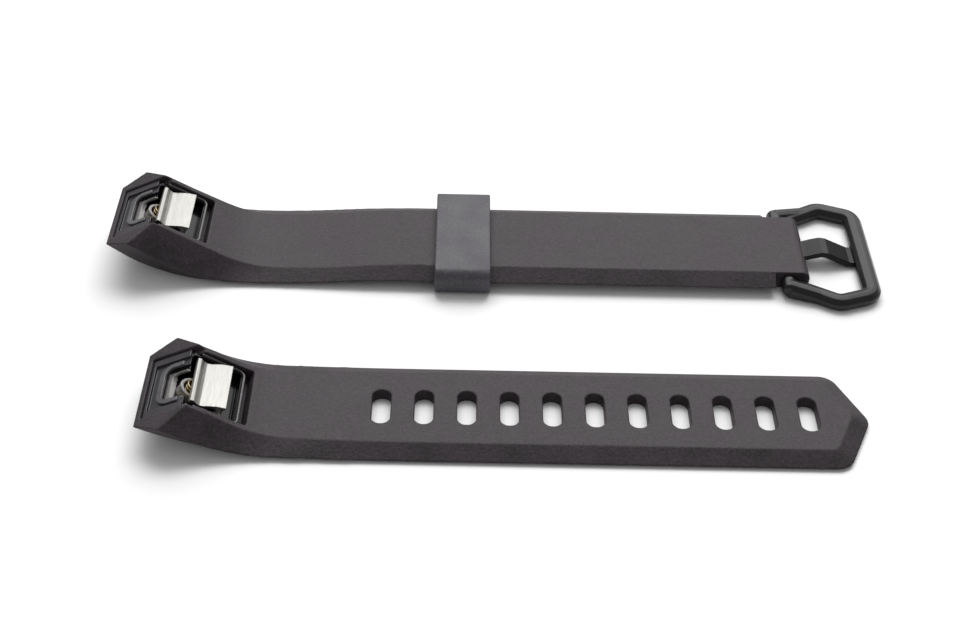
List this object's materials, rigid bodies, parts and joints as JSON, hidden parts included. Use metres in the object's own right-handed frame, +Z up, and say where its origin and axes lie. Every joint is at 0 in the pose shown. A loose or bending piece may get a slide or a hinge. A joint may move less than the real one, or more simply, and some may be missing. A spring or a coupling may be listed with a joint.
{
  "type": "fitness tracker band",
  "caption": "Two-piece rubber wrist band with spring-latch tracker sockets, adjustment slots, a keeper loop and a pin buckle.",
  "frame": {"origin": "on the surface the band lies on, under the middle of the pair of straps", "axes": "+X along the straps from the tracker ends to the buckle and the pointed tip, +Y from the half with slots to the half with the buckle, +Z up, the way the wrist side faces"},
  "size_m": [0.0965, 0.0501, 0.0076],
  "materials": {
    "strap_rubber": "matt",
    "keeper_rubber": "matt",
    "housing_plastic": "gloss",
    "rim_plastic": "satin",
    "seal": "satin",
    "latch_steel": "satin",
    "pin_steel": "satin",
    "spring_brass": "satin",
    "buckle_metal": "satin"
  },
  "bodies": {
    "buckle_half": {"buckle_strap": "strap_rubber", "buckle_socket_housing": "housing_plastic", "buckle_retainer_rim": "rim_plastic", "buckle_face_seal": "seal", "buckle_latch_pin": "pin_steel", "buckle_latch_spring": "spring_brass", "spring_bar_tube": "pin_steel", "spring_bar_coil": "pin_steel"},
    "hole_half": {"hole_strap": "strap_rubber", "hole_socket_housing": "housing_plastic", "hole_retainer_rim": "rim_plastic", "hole_face_seal": "seal", "hole_latch_pin": "pin_steel", "hole_latch_spring": "spring_brass"},
    "keeper": {"keeper_loop": "keeper_rubber"},
    "buckle": {"buckle_frame": "buckle_metal"},
    "tongue": {"buckle_tongue": "buckle_metal"},
    "buckle_latch": {"buckle_latch_plate": "latch_steel"},
    "hole_latch": {"hole_latch_plate": "latch_steel"},
    "plunger_near": {"spring_bar_plunger_near": "pin_steel"},
    "plunger_far": {"spring_bar_plunger_far": "pin_steel"}
  },
  "joints": [
    {"name": "half_lift", "type": "slide", "parent": "buckle_half", "child": "hole_half", "axis": [0, 0, 1], "range_m": [0, 0.05]},
    {"name": "keeper_slide", "type": "slide", "parent": "buckle_half", "child": "keeper", "axis": [1, 0, 0], "range_m": [0, 0.034]},
    {"name": "buckle_fold", "type": "hinge", "parent": "buckle_half", "child": "buckle", "pos_m": [0.0368, 0.0141, 0.00115], "axis": [0, -1, 0], "range_deg": [0, 110]},
    {"name": "tongue_swing", "type": "hinge", "parent": "buckle_half", "child": "tongue", "pos_m": [0.0368, 0.0141, 0.00115], "axis": [0, 1, 0], "range_deg": [0, 90]},
    {"name": "buckle_latch_press", "type": "hinge", "parent": "buckle_half", "child": "buckle_latch", "pos_m": [-0.03929, 0.0141, 0.00467], "axis": [0, -1, 0], "range_deg": [0, 6], "stiffness_Nm_per_rad": 0.02, "deforming": ["buckle_latch_spring"]},
    {"name": "hole_latch_press", "type": "hinge", "parent": "hole_half", "child": "hole_latch", "pos_m": [-0.03109, -0.01725, 0.00282], "axis": [0, -1, 0], "range_deg": [0, 6], "stiffness_Nm_per_rad": 0.02, "deforming": ["hole_latch_spring"]},
    {"name": "plunger_near_press", "type": "slide", "parent": "buckle_half", "child": "plunger_near", "axis": [0, 1, 0], "range_m": [0, 0.0008], "stiffness_N_per_m": 300, "deforming": ["spring_bar_coil"]},
    {"name": "plunger_far_press", "type": "slide", "parent": "buckle_half", "child": "plunger_far", "axis": [0, -1, 0], "range_m": [0, 0.0008], "stiffness_N_per_m": 300, "deforming": ["spring_bar_coil"]}
  ]
}
